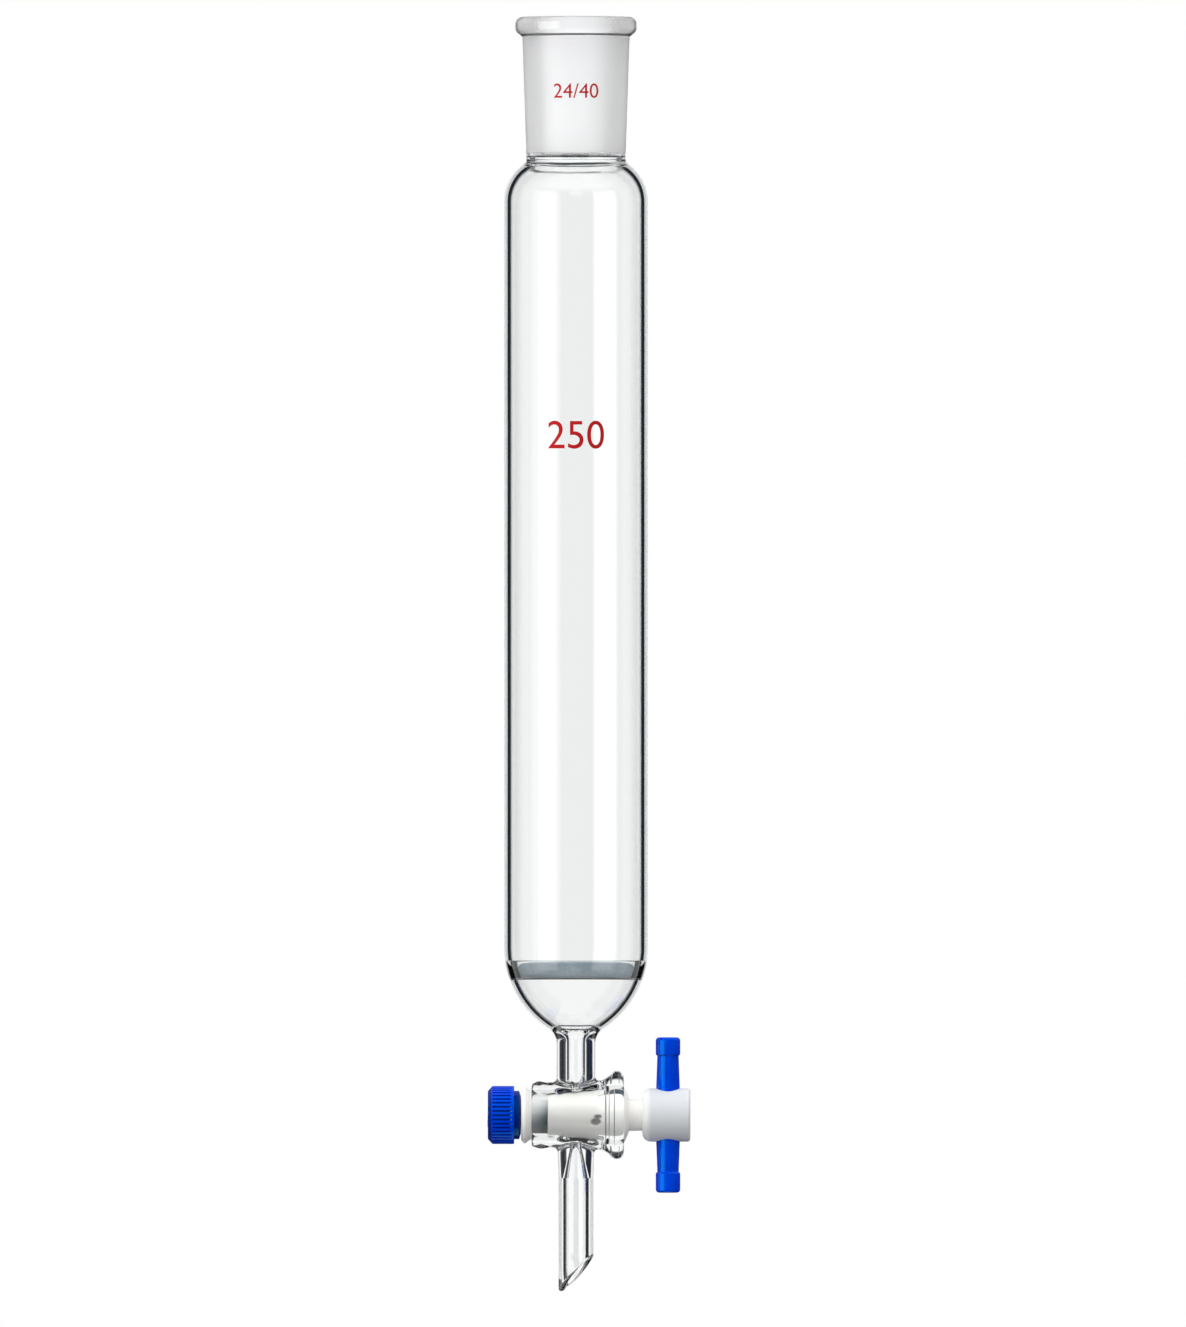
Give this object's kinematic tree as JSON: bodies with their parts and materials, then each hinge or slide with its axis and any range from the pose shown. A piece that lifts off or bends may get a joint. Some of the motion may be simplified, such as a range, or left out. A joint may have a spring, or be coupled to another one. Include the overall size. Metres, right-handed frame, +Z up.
{
  "type": "chromatography column",
  "caption": "Glass chromatography column with a ground joint socket, a fritted disc and a stopcock with a threaded lock nut.",
  "frame": {"origin": "on the tube's axis, half way up its straight wall", "axes": "+Z up the tube towards the ground joint, +X along the stopcock towards its handle, +Y away from the picture's viewer"},
  "size_m": [0.0609, 0.0432, 0.3824],
  "materials": {
    "clear_glass": "clear fire-polished borosilicate glass",
    "ground_glass": "clear outside, ground matt inside",
    "sintered_glass": "sintered glass grains, matt",
    "white_fluoroplastic": "turned fluoroplastic, waxy and slightly translucent",
    "blue_plastic": "moulded, half gloss",
    "black_rubber": "smooth moulded rubber"
  },
  "bodies": {
    "glass_column": {"ground_joint": "ground_glass", "column_tube": "clear_glass", "disc_seal_ring": "clear_glass", "fritted_disc": "sintered_glass", "lower_dome": "clear_glass", "stopcock_barrel": "clear_glass", "drip_tube": "clear_glass"},
    "plug": {"stopcock_plug": "white_fluoroplastic", "handle_arm_upper": "blue_plastic", "handle_arm_lower": "blue_plastic"},
    "washer_pack": {"flanged_washer": "white_fluoroplastic", "o_ring": "black_rubber"},
    "nut": {"lock_nut": "blue_plastic"}
  },
  "joints": [
    {"name": "plug_turn", "type": "hinge", "parent": "glass_column", "child": "plug", "pos_m": [0, 0, -0.16215], "axis": [1, 0, 0], "continuous": true},
    {"name": "washer_slide", "type": "slide", "parent": "plug", "child": "washer_pack", "axis": [-1, 0, 0], "range_m": [0, 0.009]},
    {"name": "nut_turn", "type": "hinge", "parent": "washer_pack", "child": "nut", "pos_m": [0, 0, -0.16215], "axis": [-1, 0, 0], "range_deg": [0, 1621]}
  ],
  "couplings": [
    {"joint": "nut_turn", "follows": "washer_slide", "rad_per_m": 3141.6}
  ]
}
